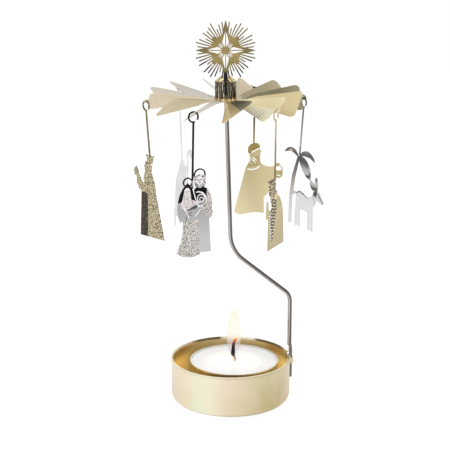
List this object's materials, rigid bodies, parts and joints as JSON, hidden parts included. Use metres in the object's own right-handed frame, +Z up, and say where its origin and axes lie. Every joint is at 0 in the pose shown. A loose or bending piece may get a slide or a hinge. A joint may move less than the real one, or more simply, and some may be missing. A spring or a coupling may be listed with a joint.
{
  "type": "angel chime carousel",
  "caption": "Tealight carousel: a twelve-bladed wheel turns on a bent rod over a round cup and carries hanging sheet-metal nativity charms and a rayed star.",
  "frame": {"origin": "middle of the cup's flat underside", "axes": "+Z up, -Y to the front, the rod stands at +X and 10 degrees behind"},
  "size_m": [0.079, 0.0724, 0.1638],
  "materials": {
    "champagne_cup": "satin champagne gold outside, bright gold inside",
    "champagne_sheet": "bright pale gold plated sheet",
    "polished_gold": "polished gold plating",
    "antique_gold": "polished gold plated sheet",
    "gold_charm": "pale gold plated sheet with etched texture",
    "silver_charm": "bright nickel plated sheet with etched texture",
    "steel_rod": "drawn bright steel wire",
    "tealight_aluminium": "bright drawn aluminium",
    "candle_wax": "smooth white wax",
    "tin_plate": "tin plate",
    "burnt_wick": "burnt cotton"
  },
  "bodies": {
    "base": {"base_cup": "champagne_cup"},
    "candle": {"tealight_can": "tealight_aluminium", "tealight_wax": "candle_wax", "wick_sustainer": "tin_plate", "tealight_wick": "burnt_wick"},
    "stand": {"support_rod": "steel_rod"},
    "rotor": {"rotor_wheel": "champagne_sheet", "pivot_cap": "polished_gold"},
    "topper": {"star_topper": "antique_gold"},
    "king_with_vessel_body": {"king_with_vessel": "gold_charm"},
    "couple_with_child_body": {"couple_with_child": "silver_charm"},
    "king_bowing_body": {"king_bowing": "gold_charm"},
    "donkey_and_palm_body": {"donkey_and_palm": "silver_charm"},
    "king_with_turban_body": {"king_with_turban": "gold_charm"},
    "shepherd_and_lamb_body": {"shepherd_and_lamb": "silver_charm"}
  },
  "joints": [
    {"name": "candle_lift", "type": "slide", "parent": "base", "child": "candle", "axis": [0, 0, 1], "range_m": [0, 0.022]},
    {"name": "rod_lift", "type": "slide", "parent": "base", "child": "stand", "axis": [0, 0, 1], "range_m": [0, 0.011]},
    {"name": "rotor_spin", "type": "hinge", "parent": "stand", "child": "rotor", "pos_m": [-0.0022, 0, 0.1312], "axis": [0, 0, 1], "continuous": true},
    {"name": "star_lift", "type": "slide", "parent": "rotor", "child": "topper", "axis": [0, 0, 1], "range_m": [0, 0.006]},
    {"name": "king_with_vessel_swing", "type": "hinge", "parent": "rotor", "child": "king_with_vessel_body", "pos_m": [-0.03486, -0.00418, 0.12932], "axis": [-0.7716, -0.6361, 0], "range_deg": [-15, 15]},
    {"name": "couple_with_child_swing", "type": "hinge", "parent": "rotor", "child": "couple_with_child_body", "pos_m": [-0.01486, -0.03061, 0.12945], "axis": [0.4384, -0.8988, 0], "range_deg": [-15, 15]},
    {"name": "king_bowing_swing", "type": "hinge", "parent": "rotor", "child": "king_bowing_body", "pos_m": [0.01769, -0.02616, 0.12929], "axis": [0.9026, -0.4305, 0], "range_deg": [-15, 15]},
    {"name": "donkey_and_palm_swing", "type": "hinge", "parent": "rotor", "child": "donkey_and_palm_body", "pos_m": [0.03031, 0.00411, 0.12926], "axis": [-0.8829, -0.4695, 0], "range_deg": [-12, 12]},
    {"name": "king_with_turban_swing", "type": "hinge", "parent": "rotor", "child": "king_with_turban_body", "pos_m": [0.01048, 0.0301, 0.12922], "axis": [-0.1805, -0.9836, 0], "range_deg": [-12, 12]},
    {"name": "shepherd_and_lamb_swing", "type": "hinge", "parent": "rotor", "child": "shepherd_and_lamb_body", "pos_m": [-0.02213, 0.02618, 0.12932], "axis": [0.9272, -0.3746, 0], "range_deg": [-15, 15]}
  ]
}
